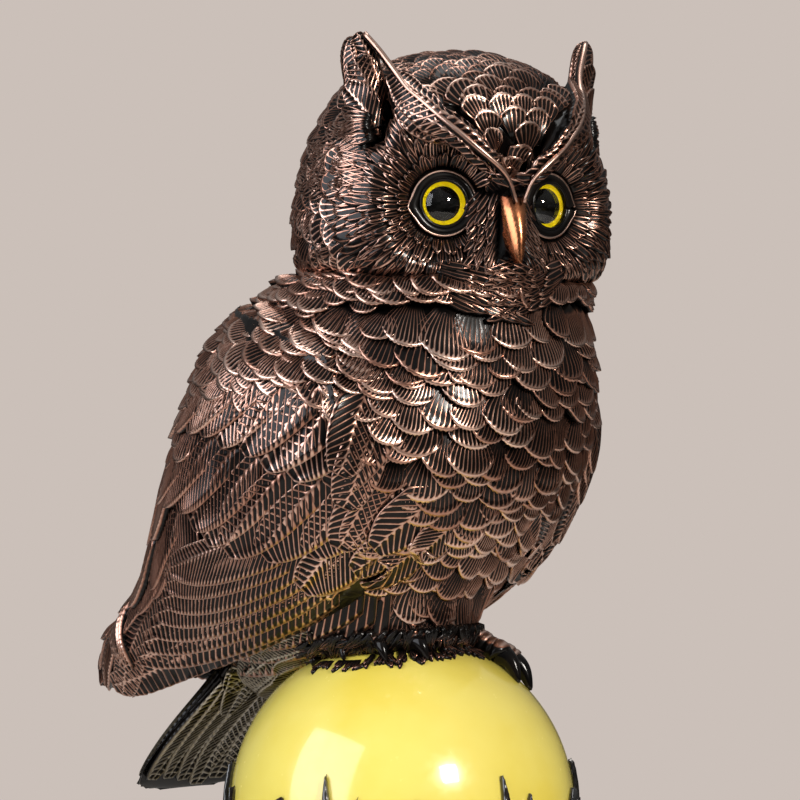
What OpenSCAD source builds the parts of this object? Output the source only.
// Owl figurine: a hollow cast owl standing on a lacquered ball.
// Millimetres. +Z is up, the body faces -Y and the owl's left side is +X.
// The origin is the centre of the underside of the felt pad.

/* [Ball] */
// Outer diameter of the lacquered ball
ball_d = 86; // [76:1:100]
// Wall of the hollow ball
ball_wall = 3.2; // [2.4:0.1:5]
// Height cut off the ball to make its flat foot
ball_flat = 8; // [6:0.5:11]
// Thickness of the ball's solid floor above the foot
floor_t = 11; // [9:0.5:14]

/* [Foot of the ball] */
// Diameter of the steel ballast plate
ballast_d = 40; // [34:1:44]
// Thickness of the ballast plate
ballast_t = 4; // [2:0.5:6]
// Diameter of the felt pad
felt_d = 46; // [40:1:48]
// Thickness of the felt pad
felt_t = 1; // [0.8:0.1:3]

/* [Tie rod] */
// Diameter of the steel rod that ties owl and ball together
rod_d = 6; // [4:0.5:8]
// Length of rod inside the owl
rod_reach = 24; // [18:1:30]
// Width of the nut across its flats
nut_af = 10; // [9:0.5:12]
// Height of the nut
nut_h = 5; // [4:0.5:5.5]
// Diameter of the washer
washer_d = 14; // [13:0.5:16]
// Thickness of the washer
washer_t = 1.2; // [0.8:0.1:2]
// Diameter of the round nut cast into the owl
insert_d = 10; // [9:0.5:13]
// Length of the nut cast into the owl
insert_l = 12; // [8:1:14]
// Diameter of the dowel that stops the owl turning on the ball
dowel_d = 4; // [3:0.5:6]
// Length of the dowel
dowel_l = 16; // [12:1:20]
// Distance of the dowel behind the rod
dowel_back = 13; // [11:0.5:16]

/* [Feather rows] */
// Distance from one row of feathers on the body to the next
body_row = 12; // [10:0.5:14]
// How far the roots of the body's feathers lie below their tips
body_sunk = 1.5; // [0.5:0.1:2]
// Number of feathers in a row round the body
body_plumes = 24; // [16:2:28]
// Distance from one row of feathers on the head to the next
head_row = 11; // [9:0.5:14]
// How far the roots of the head's feathers lie below their tips
head_sunk = 1; // [0.4:0.1:1.4]
// Number of feathers in a row round the head
head_plumes = 22; // [16:2:26]

/* [Raised pattern on the ball] */
// Number of sprigs round the ball
sprigs = 6; // [4:1:6]
// Height of the raised pattern above the ball
relief_h = 1.8; // [1:0.1:2.5]
// Length of the longest grass blade
blade_l = 26; // [18:1:30]
// Width of a grass blade
blade_w = 2.6; // [2:0.1:4]
// Length of a leaf
leaf_l = 21; // [16:0.5:24]
// Width of a leaf
leaf_w = 10; // [8:0.5:12]
// Width of the dark border of a leaf
leaf_rim = 1.5; // [1.2:0.1:2]
// Height of the ground line that ties the sprigs together
ground_w = 2.4; // [1.6:0.1:4]
// Angle of the ground line below the ball's equator
ground_angle = 20; // [12:1:28]

/* [Body] */
// Height from the top of the ball to the neck
body_height = 88; // [74:1:100]
// Width over the folded wings at the shoulder
shoulder_w = 109; // [100:1:120]
// Depth from the breast to the back at the shoulder
body_depth = 112; // [104:1:124]

/* [Wings] */
// Greatest thickness of a folded wing
wing_t = 6.5; // [4:0.5:8]
// Least thickness of a wing at its rim
wing_rim = 1.2; // [0.8:0.1:2]
// Angle between the two wings across the back, at the midline
wing_gap = 4; // [3:0.5:12]
// Diameter of the pegs that hold a wing
peg_d = 6; // [4:0.5:8]
// Length of a peg inside the body
peg_reach = 9; // [6:0.5:11]

/* [Tail] */
// Length of the tail along its middle
tail_l = 50; // [42:1:60]
// Width of the tail near its end
tail_w = 46; // [36:1:52]
// Thickness of the tail where it leaves the body
tail_t = 9; // [7:0.5:11]
// Diameter of the tail's tenon
tenon_d = 8; // [5:0.5:9]
// Length of the tail's tenon
tenon_l = 13; // [8:1:15]

/* [Head] */
// Height of the head from the neck to the crown
head_height = 56; // [50:0.5:66]
// Width of the head
head_w = 79; // [74:0.5:88]
// Depth of the head without its beak
head_depth = 77; // [70:0.5:84]
// Distance of the head's axis in front of the ball's axis
head_forward = 16; // [10:0.5:20]
// Angle the head is turned to the owl's right
head_turn = 20; // [0:1:40]
// Diameter of the spigot under the head
spigot_d = 30; // [24:1:36]
// Length of the spigot
spigot_l = 10; // [6:0.5:14]

/* [Eyes and beak] */
// Diameter of a glass eye
eye_d = 12; // [10:0.5:13]
// Height of the glass dome over the painted disc
eye_dome = 4.4; // [3:0.1:5]
// Diameter of the black pupil
pupil_d = 7; // [6:0.1:9]
// Thickness of the painted disc behind the glass
iris_t = 1; // [0.6:0.1:1.6]
// Distance of an eye from the head's middle plane
eye_out = 13.4; // [12.5:0.1:15]
// How far in front of the neck the eyes sit, as a share of the head's depth
eye_forward_share = 0.3214; // [0.31:0.002:0.33]
// Height of the eyes above the neck
eye_up = 17.5; // [16:0.5:22]
// Angle an eye looks out to its side
eye_splay = 16; // [8:1:22]
// Radius of the hollow round each eye
disc_r = 34; // [30:0.5:40]
// Length of the beak
beak_l = 17; // [14:0.5:20]
// Width of the beak at its root
beak_w = 6.6; // [5:0.2:8]
// How far the beak stands out in front of the head's slot
beak_out = 5.6; // [4:0.2:7]

/* [Ear tufts and brows] */
// Length of an ear tuft above its socket
tuft_l = 21; // [15:0.5:26]
// Width of an ear tuft
tuft_w = 13.5; // [11:0.5:16]
// Thickness of an ear tuft
tuft_t = 7; // [5:0.5:8]
// Diameter of the round plug at the tuft's root
plug_d = 13; // [10:0.5:14]
// Depth of the socket for the plug
plug_l = 7; // [5:0.5:8]
// Height of the brow ridge
brow_t = 5; // [4:0.2:6]

/* [Feet] */
// Radius of a toe
toe_r = 3.5; // [2.8:0.1:4]
// Length of a claw
claw_l = 8; // [6:0.5:10]

/* [Hidden] */

fit = 0.15;                    // radial clearance of plugs, pegs and pins
seat = 0.6;                    // clearance between a wing and the flank
foot_gap = 0.1;                // clearance between a toe's root and the body
ball_r = ball_d / 2;
ball_z = ball_r - ball_flat + felt_t;
top_z = ball_z + ball_r;       // top of the ball
neck_z = top_z + body_height;
foot_z = felt_t;               // flat foot of the ball
floor_z = foot_z + floor_t;
nut_pocket_d = washer_d + 3;
nut_pocket_z = foot_z + washer_t + nut_h + 0.8;
rod_hole_d = rod_d + 0.6;
insert_top = top_z + rod_reach;
clear_d = 20;                  // drain passage between the hollows

// Sections of the body with the wings on: share of the body's height above
// the ball, then front, back and half width as shares of depth and width.
BULK = [[-0.23, -0.44, -0.89, 0.20], [-0.16, -0.31, -0.90, 0.255],
    [-0.045, -0.07, -0.855, 0.33], [0.07, 0.135, -0.735, 0.385],
    [0.125, 0.20, -0.67, 0.413], [0.18, 0.246, -0.643, 0.44],
    [0.30, 0.326, -0.603, 0.468], [0.41, 0.384, -0.571, 0.486],
    [0.52, 0.429, -0.54, 0.5], [0.69, 0.46, -0.473, 0.491],
    [0.81, 0.455, -0.42, 0.459], [0.92, 0.451, -0.372, 0.425],
    [1, 0.446, -0.28, 0.385]];
// The same for the bare body casting under the wings.
CORE = [[-0.205, -0.32, -0.446, 0.083], [-0.16, -0.214, -0.464, 0.138],
    [-0.10, 0.018, -0.473, 0.174], [-0.057, 0.165, -0.482, 0.202],
    [0, 0.152, -0.50, 0.239], [0.07, 0.161, -0.536, 0.284],
    [0.125, 0.192, -0.554, 0.33], [0.18, 0.232, -0.554, 0.362],
    [0.30, 0.308, -0.536, 0.404], [0.41, 0.366, -0.509, 0.431],
    [0.52, 0.411, -0.478, 0.445], [0.69, 0.442, -0.415, 0.436],
    [0.81, 0.442, -0.378, 0.41], [0.92, 0.442, -0.325, 0.378],
    [1, 0.446, -0.225, 0.35]];
// Sections of the head: share of its height, front, back, half width.
SKULL = [[0, 0.44, -0.44, 0.444], [0.07, 0.493, -0.48, 0.488],
    [0.21, 0.506, -0.493, 0.5], [0.35, 0.506, -0.487, 0.491],
    [0.49, 0.50, -0.474, 0.469], [0.63, 0.48, -0.442, 0.438],
    [0.75, 0.448, -0.396, 0.395], [0.87, 0.377, -0.318, 0.321],
    [0.94, 0.292, -0.234, 0.235], [0.983, 0.175, -0.117, 0.13],
    [1, 0.065, -0.013, 0.037]];

// --- smooth tables -------------------------------------------------------
function seg(x, t, i = 0) =
    i >= len(t) - 2 || x < t[i + 1][0] ? i : seg(x, t, i + 1);
function slope(t, i, k) =
    let (a = max(i - 1, 0), b = min(i + 1, len(t) - 1))
    (t[b][k] - t[a][k]) / (t[b][0] - t[a][0]);
function curve(x, t, k) =
    let (i = seg(x, t), h = t[i + 1][0] - t[i][0], u = (x - t[i][0]) / h)
    (2*u*u*u - 3*u*u + 1) * t[i][k] + (u*u*u - 2*u*u + u) * h * slope(t, i, k)
    + (3*u*u - 2*u*u*u) * t[i + 1][k] + (u*u*u - u*u) * h * slope(t, i + 1, k);
function ease(x) = let (u = max(0, min(1, x))) u*u*(3 - 2*u);
function mix(a, b, t) = a + (b - a) * t;
function unit(v) = v / norm(v);

// One section as [front, back, half width] in millimetres, at height h.
function bulk(h) = let (s = h / body_height)
    [curve(s, BULK, 1) * body_depth, curve(s, BULK, 2) * body_depth,
     curve(s, BULK, 3) * shoulder_w];
function core(h) = let (s = h / body_height)
    [curve(s, CORE, 1) * body_depth, curve(s, CORE, 2) * body_depth,
     curve(s, CORE, 3) * shoulder_w];
function skull(g) = let (s = g / head_height)
    [curve(s, SKULL, 1) * head_depth, curve(s, SKULL, 2) * head_depth,
     curve(s, SKULL, 3) * head_w];

// Point round a section at the angle a from the left, o inside its outline.
function around(e, z, a, o = 0) = [(e[2] - o) * cos(a),
    -(e[0] + e[1]) / 2 + ((e[0] - e[1]) / 2 - o) * sin(a), z];
// Ring of points round a section, counter-clockwise from above.
function ring(e, z, n) = [for (i = [0:n - 1]) around(e, z, i * 360 / n)];
function from_front(a) = abs(((a + 90 + 180) % 360 + 360) % 360 - 180);

// Rows of feathers. Going up, a row has three rings: part 0 lies under its
// scalloped tips, part 1 is the tips and part 2 the middle of the feathers.
function rows_in(low, high, pitch) = max(1, round((high - low) / pitch - 0.4));
function rows_at(low, high, pitch, k) = let (p = (high - low) / (rows_in(low, high, pitch) + 0.4))
    [low + p * (k + 0.5), p];
function row_wave(b) = cos(b) + 0.3 * pow(sin(b), 2);
function row_height(h, p, part, b, wave = 1) = part == 2 ? h + 0.5 * p
    : h - 0.22 * p * row_wave(b) * wave - (part == 0 ? 0.05 * p : 0);
function row_depth(part, b) = [1, 0.2 - 0.2 * row_wave(b), 0.45][part];

// Distance from [0, c] to the section e along the angle a from the front.
function reach(e, c, a) =
    let (m = (e[0] + e[1]) / 2, b = (e[0] - e[1]) / 2, s = sin(a), k = cos(a),
         qa = s*s / (e[2]*e[2]) + k*k / (b*b), qb = 2 * (c - m) * k / (b*b),
         qc = (c - m)*(c - m) / (b*b) - 1, q = qb*qb - 4*qa*qc)
    q < 0 ? 0 : (-qb + sqrt(q)) / (2 * qa);

// --- solids through rings ------------------------------------------------
// Rings run counter-clockwise seen from the end they advance towards. A strip
// ring is an outer row followed by the inner row backwards.
module loft(rings, strip = false) {
    n = len(rings[0]);
    m = len(rings);
    k = n / 2;
    last = (m - 1) * n;
    sides = [for (i = [0:m - 2]) for (j = [0:n - 1])
        let (a = i*n + j, b = i*n + (j + 1) % n, c = b + n, d = a + n)
        each [[a, c, b], [a, d, c]]];
    caps = strip
        ? [for (j = [0:k - 2]) each
            [[j, j + 1, n - 2 - j], [j, n - 2 - j, n - 1 - j],
             [last + j, last + n - 2 - j, last + j + 1],
             [last + j, last + n - 1 - j, last + n - 2 - j]]]
        : [for (j = [1:n - 2]) each
            [[0, j, j + 1], [last, last + j + 1, last + j]]];
    polyhedron(points = [for (r = rings) each r],
        faces = concat(sides, caps), convexity = 6);
}

// Ring round p: u and v are the half axes, walked from u towards v.
function loop(p, u, v, n) =
    [for (i = [0:n - 1]) let (a = i * 360 / n) p + u * cos(a) + v * sin(a)];

module at_neck() { translate([0, -head_forward, neck_z])
    rotate([0, 0, -head_turn]) children(); }

// --- body ----------------------------------------------------------------
body_low = CORE[0][0] * body_height;
module flank(low, high, steps, out = 0, n = 4 * body_plumes) {
    loft([for (i = [0:steps]) let (h = mix(low, high, i / steps))
        ring(core(h) + out * [1, -1, 1], top_z + h, n)]);
}

// Where the body shows: not under the wings, by the ball or at the neck.
WING_EDGE = [[-0.3, 20], [0.12, 32], [0.79, 66], [0.875, 94], [0.915, 123], [0.93, 190], [1.1, 400]];
function body_shows(h, a) = let (s = h / body_height)
    ease((lookup(s, WING_EDGE) - 3 - from_front(a)) / 12)
    * ease((h - 0.09 * body_height) / 8) * ease((body_height - h) / 5);
function body_ring(k, part) = let (n = 4 * body_plumes, r = rows_at(body_low, body_height, body_row, k))
    [for (i = [0:n - 1]) let (a = i * 360 / n,
            h = row_height(r[0], r[1], part, body_plumes * a + 180 * k, min(1, k)),
            o = body_sunk * body_shows(h, a) * row_depth(part, body_plumes * a + 180 * k))
        around(core(h), top_z + h, a, o)];
module plumed_body() loft(concat(
    [ring(core(body_low), top_z + body_low, 4 * body_plumes)],
    [for (k = [0:rows_in(body_low, body_height, body_row) - 1]) each
        [for (part = [0:2]) body_ring(k, part)]],
    [ring(core(body_height), top_z + body_height, 4 * body_plumes)]));

// The tail leaves the rump across this plane.
rump = [0, 0.43 * body_depth, top_z - 0.09 * body_height];
tail_pitch = 47;               // angle of the tail's root from straight down
tail_dir = [0, sin(tail_pitch), -cos(tail_pitch)];
module across_rump() { translate(rump) rotate([180 + tail_pitch, 0, 0])
    children(); }

// Places of the wing pegs: share of the body's height.
PEGS = [0.36, 0.60];
function peg_h(i) = PEGS[i] * body_height;
function peg_y(i) = -(core(peg_h(i))[0] + core(peg_h(i))[1]) / 2;
function peg_in(i) = core(peg_h(i))[2] - peg_reach;
module peg_at(i) { translate([-peg_in(i), peg_y(i), top_z + peg_h(i)])
    rotate([0, -90, 0]) children(); }

hollow_r = 0.24 * shoulder_w;
hollow_h = 0.60 * body_height;
module body_hollow() {
    translate([0, 0.05 * body_depth, top_z + hollow_h])
        rotate_extrude($fn = 48) polygon([for (i = [0:16])
            let (a = -90 + i * 180 / 16)
            [hollow_r * cos(a) + (i == 0 || i == 16 ? 0 : 0.2),
             0.2 * body_height * sin(a)]]);
    translate([0, -head_forward / 2, top_z + hollow_h])
        cylinder(d = clear_d, h = body_height, $fn = 48);
}

module body_casting() color("#5b3a2c") difference() {
    plumed_body();
    translate([0, 0, ball_z]) sphere(r = ball_r, $fn = 96);
    body_hollow();
    translate([0, 0, top_z - 1]) cylinder(d = rod_hole_d, h = 1 + rod_reach, $fn = 36);
    translate([0, 0, insert_top - insert_l]) cylinder(d = insert_d, h = insert_l, $fn = 48);
    translate([0, dowel_back, 0]) cylinder(d = dowel_d, h = dowel_top, $fn = 32);
    at_neck() translate([0, 0, -spigot_l]) cylinder(d = spigot_d + 2*fit, h = 2*spigot_l, $fn = 72);
    for (i = [0, 1]) for (s = [0, 1]) mirror([s, 0, 0])
        peg_at(i) cylinder(d = peg_d + 2*fit, h = shoulder_w, $fn = 36);
    across_rump() translate([-shoulder_w / 2, -0.25 * body_depth, 0])
        cube([shoulder_w, body_depth / 2, body_height / 2]);
    across_rump() translate([0, 0, -tenon_l]) cylinder(d = tenon_d + 2*fit, h = 2*tenon_l, $fn = 40);
}

// --- wings ---------------------------------------------------------------
// Across a wing u runs from its front edge to the back's midline, and v runs
// from the shoulder down to the feather tips. Angles are from the front.
TOP_H = [[0, 0.79], [0.25, 0.875], [0.5, 0.915], [0.75, 0.925], [1, 0.90]];
LOW_A = [[0, 32], [0.25, 46], [0.5, 84], [0.75, 130], [1, 180]];
LOW_H = [[0, 0.125], [0.25, -0.06], [0.5, -0.19], [0.75, -0.195], [1, -0.16]];
function wing_a(u, v) =
    let (e = 180 - wing_gap, b = mix(66, e, u), d = curve(u, LOW_A, 1) - wing_gap * u)
    mix(b, d, v);
function wing_h(u, v) =
    body_height * mix(curve(u, TOP_H, 1), curve(u, LOW_H, 1), v);
function wing_out(u, v) =
    let (a = wing_a(u, v), h = wing_h(u, v), e = bulk(h), c = (e[0] + e[1]) / 2,
         o = reach(e, c, a), i = reach(core(h), c, a) + seat,
         w = ease(u / 0.12 + 0.25) * ease(v / 0.14 + 0.1))
    h < body_low * 0.9 ? o : max(mix(min(i + wing_rim, o), o, w), i + wing_rim);
function wing_in(u, v) =
    let (a = wing_a(u, v), h = wing_h(u, v), e = bulk(h), c = (e[0] + e[1]) / 2,
         o = wing_out(u, v), i = reach(core(h), c, a) + seat,
         t = mix(wing_t, wing_rim * 1.6, ease((v - 0.55) / 0.45)))
    h < body_low * 0.9 ? o - t : max(i, o - t);
function wing_pt(u, v, r) =
    let (a = wing_a(u, v), h = wing_h(u, v), e = bulk(h), c = (e[0] + e[1]) / 2)
    [-r * sin(a), -(c + r * cos(a)), top_z + h];
wing_nu = 24;
wing_nv = 16;
module wing_blade() loft([for (j = [0:wing_nv]) let (v = j / wing_nv)
    concat([for (i = [0:wing_nu]) let (u = i / wing_nu) wing_pt(u, v, wing_out(u, v))],
        [for (i = [wing_nu:-1:0]) let (u = i / wing_nu) wing_pt(u, v, wing_in(u, v))])],
    strip = true);
module right_wing() color("#6e4531") {
    wing_blade();
    for (i = [0, 1]) peg_at(i) cylinder(d = peg_d, h = peg_reach + wing_t / 2, $fn = 36);
}
module left_wing() mirror([1, 0, 0]) right_wing();

// --- tail ----------------------------------------------------------------
// t runs from 0 at the rump to 1 at the tip; the tail swings down as it goes.
function tail_bend(t) = tail_pitch + 4 * t - 20 * t * t;
function tail_sum(t, k = 0, n = 12) = k >= n ? [0, 0, 0]
    : let (b = tail_bend(t * (k + 0.5) / n)) [0, sin(b), -cos(b)] + tail_sum(t, k + 1, n);
function tail_mid(t) = rump + tail_sum(t) * tail_l * t / 12;
function tail_half(t) = t < 0.86 ? mix(0.62, 1, ease(t * 1.25)) * tail_w / 2
    : tail_w / 2 * sqrt(1 - pow((t - 0.86) / 0.15, 2));
function tail_thick(t) = mix(tail_t, 4, ease(t * 1.3)) / 2 * (t < 0.86 ? 1
    : sqrt(1 - pow((t - 0.86) / 0.15, 2)));
TAIL_T = [0, 0.12, 0.25, 0.38, 0.5, 0.62, 0.74, 0.84, 0.9, 0.95, 0.98, 1];
tail_n = 28;
// A section is curved: its sides lie forward of its middle.
function tail_ring(t) = let (b = tail_bend(t), w = tail_half(t), k = tail_thick(t),
        out = [0, cos(b), sin(b)], p = tail_mid(t), sag = 3 * ease(t * 3))
    [for (i = [0:tail_n - 1]) let (a = i * 360 / tail_n, x = w * cos(a))
        p + [x, 0, 0] + out * (k * sin(a) - sag * pow(x / (tail_w / 2), 2))];
module tail() color("#4a3a2c") {
    loft([for (t = TAIL_T) [for (i = [tail_n - 1:-1:0]) tail_ring(t)[i]]]);
    across_rump() translate([0, 0, -tenon_l]) cylinder(d = tenon_d, h = tenon_l + 2, $fn = 40);
}

// --- feet ----------------------------------------------------------------
// A toe follows the ball from one point to another, both given as distances
// to the left of and in front of the ball's axis.
function on_ball(p, r) = let (q = p * ball_r / 43, h = sqrt(ball_r*ball_r - q[0]*q[0] - q[1]*q[1]))
    [q[0], -q[1], h] * r / ball_r;
function toe_size(s, len) = s < len - claw_l
    ? toe_r * (0.94 + 0.1 * pow(sin(180 * s / 6.4), 2))
    : let (u = (s - len + claw_l) / claw_l) mix(toe_r * 0.78, 0.35, u * u * 0.4 + u * 0.6);
module toe(p, q, n = 14, m = 20) {
    a = on_ball(p, ball_r);
    b = on_ball(q, ball_r);
    len = norm(b - a) * 1.03;
    loft([for (i = [0:m]) let (t = i / m, s = t * len, r = toe_size(s, len),
            d = unit(mix(a, b, t)), c = d * (ball_r + r * 0.8),
            f = unit(b - a - d * (d * (b - a))), w = cross(d, f))
        loop(c, w * r * 0.95, d * r, n)]);
}
// Toe roots and tips: [left, forward] on a ball of 86.
TOES_LEFT = [[[9, 3], [15.5, 25]], [[12, 1], [24, 21]], [[13, -3], [29, 7]]];
TOES_RIGHT = [[[-7, -1], [-11.5, 21.5]], [[-9, -3], [-22, 15]], [[-10, -6], [-26, 2]]];
module foot(toes) color("#3a2c22") difference() {
    translate([0, 0, ball_z]) for (t = toes) toe(t[0], t[1]);
    translate([0, 0, ball_z]) sphere(r = ball_r, $fn = 96);
    flank(body_low, body_low + (body_height - body_low) * 10 / 30, 10, foot_gap);
}
module left_foot() foot(TOES_LEFT);
module right_foot() foot(TOES_RIGHT);

// --- head ----------------------------------------------------------------
eye_forward = eye_forward_share * head_depth;
module at_eye(side) { translate([side * eye_out, -eye_forward, eye_up])
    rotate([90, 0, side * eye_splay]) children(); }
disc_deep = 1.5;               // bottom of the hollow in front of the eye's disc
collar_d = 1.3 * eye_d;
collar_h = 0.2 * eye_d;                // collar in front of the painted disc
slot_y = eye_forward + 0.1377 * head_depth;    // flat bottom of the beak's slot
beak_top = eye_up + 2;

// The brow runs from over the beak up to the root of the ear tuft.
BROW = [[0, 0.02, 0.487, 0.35], [0.25, 0.095, 0.484, 0.487], [0.5, 0.168, 0.446, 0.617],
    [0.75, 0.234, 0.382, 0.71], [1, 0.302, 0.255, 0.81]];
function brow_pt(t) = [curve(t, BROW, 1) * head_w, -curve(t, BROW, 2) * head_depth,
    curve(t, BROW, 3) * head_height];
function brow_dir(t) = unit(brow_pt(min(t + 0.05, 1)) - brow_pt(max(t - 0.05, 0)));
module brow() loft([for (i = [0:10]) let (t = i / 10, p = brow_pt(t), d = brow_dir(t),
        o = unit([p[0] * 0.6, p[1], 8]), w = unit(cross(d, o)), u = cross(w, d),
        r = brow_t / 2 * (0.55 + 0.75 * ease(t * 2.5)) * (1 - 0.25 * ease(t * 3 - 2)))
    loop(p, u * r * 0.9, w * r * 1.15, 12)]);

tuft_foot = [0.325 * head_w, -0.215 * head_depth, 0.56 * head_height];
tuft_lean = 14;                // lean out to the side
tuft_yaw = 45;                 // turn of its broad side out from the front
module at_tuft() { translate(tuft_foot) rotate([-10, tuft_lean, 0]) children(); }

// The skull's height at the share s of the way from the neck over the crown.
function skull_up(s) = head_height
    * (s < 0.7 ? s / 0.7 * 0.8 : 0.8 + 0.2 * sin(90 * min(1, (s - 0.7) / 0.3)));
skull_way = 0.55 * head_height + 0.5 * (head_depth + head_w) / 2;
// Feathers show on the crown, the cheeks' backs and the nape, not by the face.
function head_shows(s, a) = ease((from_front(a) - 62) / 26) * ease(s / 0.06)
    * ease((0.98 - s) / 0.04);
function skull_ring(k, part) = let (n = 4 * head_plumes, r = rows_at(0, 0.98, head_row / skull_way, k))
    [for (i = [0:n - 1]) let (a = i * 360 / n,
            s = row_height(r[0], r[1], part, head_plumes * a + 180 * k),
            o = head_sunk * head_shows(s, a) * row_depth(part, head_plumes * a + 180 * k))
        around(skull(skull_up(s)), skull_up(s), a, o)];
module skull_solid() loft(concat([ring(skull(0), 0, 4 * head_plumes)],
    [for (k = [0:rows_in(0, 0.98, head_row / skull_way) - 1]) each
        [for (part = [0:2]) skull_ring(k, part)]],
    [ring(skull(head_height), head_height, 4 * head_plumes)]));

module head_casting() color("#5b3a2c") at_neck() difference() {
    union() {
        difference() {
            skull_solid();
            for (s = [-1, 1]) at_eye(s) translate([0, 0, disc_deep + disc_r])
                sphere(r = disc_r, $fn = 80);
        }
        brow();
        mirror([1, 0, 0]) brow();
        for (s = [-1, 1]) at_eye(s) translate([0, 0, -5])
            cylinder(d = collar_d, h = 5 + collar_h, $fn = 56);
        translate([0, 0, -spigot_l]) cylinder(d = spigot_d, h = spigot_l + 2, $fn = 72);
    }
    for (s = [-1, 1]) at_eye(s) translate([0, 0, -iris_t])
        cylinder(d = eye_d + 2*fit, h = 10, $fn = 56);
    translate([-beak_w / 2 - fit, -slot_y - 20, beak_top - beak_l])
        cube([beak_w + 2*fit, 20, beak_l]);
    for (s = [0, 1]) mirror([s, 0, 0]) at_tuft()
        cylinder(d = plug_d + 2*fit, h = 30, $fn = 48);
    translate([0, 0, 0.42 * head_height]) sphere(r = 0.2 * head_w, $fn = 48);
    translate([0, 0, -spigot_l - 1]) cylinder(d = clear_d, h = 0.42 * head_height, $fn = 48);
}

// The beak's root is flat against its slot; the tip hooks down.
module beak() color("#b26a45") at_neck() intersection() {
    translate([-beak_w / 2, -slot_y - 20, 0]) cube([beak_w, 20, head_height]);
    loft([for (i = [0:12]) let (t = i / 12, z = beak_top - 0.4 - (beak_l - 0.8) * t,
            o = beak_out * (0.5 + 0.55 * sin(min(t * 1.35, 1) * 90) - 0.15 * t * t),
            w = beak_w / 2 * (1.02 - 0.12 * t - 0.72 * t * t * t),
            k = mix(1, 0.2, ease((t - 0.55) / 0.45)))
        loop([0, -slot_y - o * (1 - k) * 0.8, z], [w, 0, 0], [0, -o * (1 - (1 - k) * 0.8), 0], 20)
        ]);
}

// The plume grows out of the middle of its plug, inside a narrow round shoulder.
module tuft() at_tuft() {
    cylinder(d = plug_d, h = plug_l, $fn = 48);
    translate([0, 0, plug_l - 1.5]) rotate([0, 0, tuft_yaw])
        loft([for (i = [0:9]) let (t = i / 9, z = (tuft_l + 1.5) * t * (1.35 - 0.35 * t),
                r = plug_d / 2 - 0.6,
                w = mix(r, tuft_w / 2, ease(t * 4)) * (1 - 0.30 * t - 0.5 * pow(t, 7)),
                k = mix(r, tuft_t / 2, ease(t * 2.4)) * (1 - 0.22 * t - 0.5 * pow(t, 7)))
            loop([-1.5 * t, 0, z], [w, 0, 0], [0, k, 0], 24)]);
}
module left_ear_tuft() color("#6e4531") at_neck() tuft();
module right_ear_tuft() color("#6e4531") at_neck() mirror([1, 0, 0]) tuft();

// --- glass eyes ----------------------------------------------------------
eye_edge = 0.9;                // straight rim of the glass
cap_h = eye_dome - eye_edge;
cap_r = (eye_d*eye_d / 4 + cap_h*cap_h) / (2 * cap_h);
module eye_glass(side) color("#cfd8dc") at_neck() at_eye(side) intersection() {
    cylinder(d = eye_d, h = eye_dome + 1, $fn = 56);
    translate([0, 0, eye_dome - cap_r]) sphere(r = cap_r, $fn = 72);
}
module eye_iris(side) color("#d8c400") at_neck() at_eye(side) translate([0, 0, -iris_t])
    difference() {
        cylinder(d = eye_d, h = iris_t, $fn = 56);
        translate([0, 0, -1]) cylinder(d = pupil_d, h = iris_t + 2, $fn = 56);
    }
module eye_pupil(side) color("#101010") at_neck() at_eye(side) translate([0, 0, -iris_t])
    cylinder(d = pupil_d, h = iris_t, $fn = 56);
module right_eye_glass() eye_glass(-1);
module left_eye_glass() eye_glass(1);
module right_eye_iris() eye_iris(-1);
module left_eye_iris() eye_iris(1);
module right_eye_pupil() eye_pupil(-1);
module left_eye_pupil() eye_pupil(1);

// --- ball ----------------------------------------------------------------
dowel_foot = ball_z + sqrt(ball_r*ball_r - dowel_back*dowel_back) - dowel_l / 2;
dowel_top = dowel_foot + dowel_l;
boss_d = dowel_d + 6;
module ball_shell() color("#e6d44a") difference() {
    translate([0, 0, ball_z]) sphere(r = ball_r, $fn = 128);
    difference() {
        translate([0, 0, ball_z]) sphere(r = ball_r - ball_wall, $fn = 96);
        translate([0, 0, floor_z - ball_d]) cylinder(d = ball_d, h = ball_d, $fn = 64);
        translate([0, dowel_back, dowel_foot - 2]) cylinder(d = boss_d, h = ball_r, $fn = 40);
    }
    translate([0, 0, foot_z - ball_d]) cylinder(d = 2*ball_d, h = ball_d, $fn = 64);
    translate([0, 0, -1]) cylinder(d = rod_hole_d, h = top_z + 10, $fn = 36);
    translate([0, 0, foot_z - 1]) cylinder(d = ballast_d + 2*fit, h = ballast_t + 1, $fn = 64);
    translate([0, 0, foot_z - 1]) cylinder(d = nut_pocket_d, h = nut_pocket_z - foot_z + 1, $fn = 48);
    translate([0, dowel_back, dowel_foot]) cylinder(d = dowel_d, h = dowel_l, $fn = 32);
}

// A pointed leaf outline of length l and width w, its root at the origin.
module leaf(l, w) {
    r = (l*l / 4 + w*w / 4) / w;
    translate([0, l / 2]) intersection() {
        translate([r - w / 2, 0]) circle(r = r, $fn = 256);
        translate([w / 2 - r, 0]) circle(r = r, $fn = 256);
    }
}
// Carries a flat outline out through the ball's skin at an azimuth and height.
module on_skin(az, up) { translate([0, 0, ball_z]) rotate([0, 0, az]) rotate([90 - up, 0, 0])
    linear_extrude(height = ball_r + 2*relief_h) children(); }
module skin(h) difference() {
    translate([0, 0, ball_z]) sphere(r = ball_r + h, $fn = 128);
    translate([0, 0, ball_z]) sphere(r = ball_r, $fn = 128);
}
pitch = 360 / sprigs;
function sprig_az(i) = -65 + pitch * i;
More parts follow.
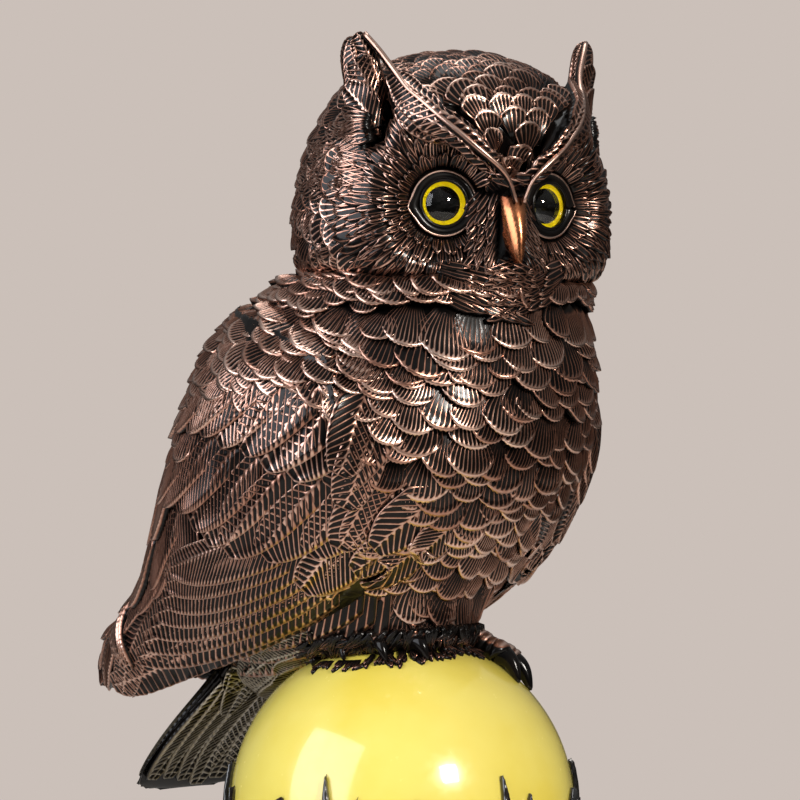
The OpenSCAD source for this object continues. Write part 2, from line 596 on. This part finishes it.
// Blades of a sprig: place of the root in blade widths, tilt, share of length.
BLADES = [[-1.9, 16, 0.7], [-0.65, 5, 1], [0.7, -6, 0.82], [1.9, -20, 0.58]];
module blade(i, b) on_skin(sprig_az(i), -ground_angle)
    translate([b[0] * blade_w * 1.15, 0]) rotate(b[1]) leaf(blade_l * b[2], blade_w);
module leaf_place(i) on_skin(sprig_az(i) + pitch / 2, -ground_angle)
    rotate(i % 2 == 0 ? 12 : -16) children();
module leaf_inside() translate([0, leaf_rim * leaf_l / leaf_w])
    leaf(leaf_l * (1 - 2 * leaf_rim / leaf_w), leaf_w - 2 * leaf_rim);
ground_z = ball_z - (ball_r + relief_h) * sin(ground_angle);
ground_top = ground_z + ground_w / 2;
module above_ground() translate([0, 0, ground_top]) cylinder(d = 2*ball_d, h = ball_d, $fn = 64);
module ball_relief() color("#15130f") for (i = [0:sprigs - 1]) {
    for (b = BLADES) intersection() { skin(relief_h); blade(i, b); above_ground(); }
    intersection() {
        skin(relief_h);
        leaf_place(i) difference() { leaf(leaf_l, leaf_w); leaf_inside(); }
        above_ground();
    }
}
module ball_ground_line() color("#15130f") intersection() {
    skin(relief_h * 0.8);
    translate([0, 0, ground_top - ground_w]) cylinder(d = 2*ball_d, h = ground_w, $fn = 64);
}
module ball_leaf_fills() color("#d9c63c") for (i = [0:sprigs - 1]) intersection() {
    skin(relief_h * 0.55);
    leaf_place(i) leaf_inside();
    above_ground();
}

// --- hardware ------------------------------------------------------------
rod_low = nut_pocket_z - washer_t - nut_h;
module tie_rod() color("#8d8f92") translate([0, 0, rod_low])
    cylinder(d = rod_d, h = insert_top - rod_low, $fn = 36);
module insert_nut() color("#8a8a86") translate([0, 0, insert_top - insert_l]) difference() {
    cylinder(d = insert_d, h = insert_l, $fn = 48);
    translate([0, 0, -1]) cylinder(d = rod_d, h = insert_l + 2, $fn = 36);
}
module rod_washer() color("#b0b2b4") translate([0, 0, nut_pocket_z - washer_t]) difference() {
    cylinder(d = washer_d, h = washer_t, $fn = 48);
    translate([0, 0, -1]) cylinder(d = rod_d + 0.4, h = washer_t + 2, $fn = 36);
}
module rod_nut() color("#a0a2a4") translate([0, 0, rod_low]) difference() {
    linear_extrude(height = nut_h) polygon([for (i = [0:5])
        nut_af / sqrt(3) * [cos(60 * i), sin(60 * i)]]);
    translate([0, 0, -1]) cylinder(d = rod_d, h = nut_h + 2, $fn = 36);
}
module locating_dowel() color("#9a9a98") translate([0, dowel_back, dowel_foot])
    cylinder(d = dowel_d, h = dowel_l, $fn = 32);
module ballast_plate() color("#6a6c6e") translate([0, 0, foot_z]) difference() {
    cylinder(d = ballast_d, h = ballast_t, $fn = 64);
    translate([0, 0, -1]) cylinder(d = nut_pocket_d, h = ballast_t + 2, $fn = 48);
}
module felt_pad() color("#23231f") cylinder(d = felt_d, h = felt_t, $fn = 64);

body_casting();
head_casting();
right_ear_tuft();
left_ear_tuft();
beak();
right_wing();
left_wing();
tail();
right_foot();
left_foot();
right_eye_glass();
left_eye_glass();
right_eye_iris();
left_eye_iris();
right_eye_pupil();
left_eye_pupil();
ball_shell();
ball_relief();
ball_ground_line();
ball_leaf_fills();
tie_rod();
insert_nut();
rod_washer();
rod_nut();
locating_dowel();
ballast_plate();
felt_pad();
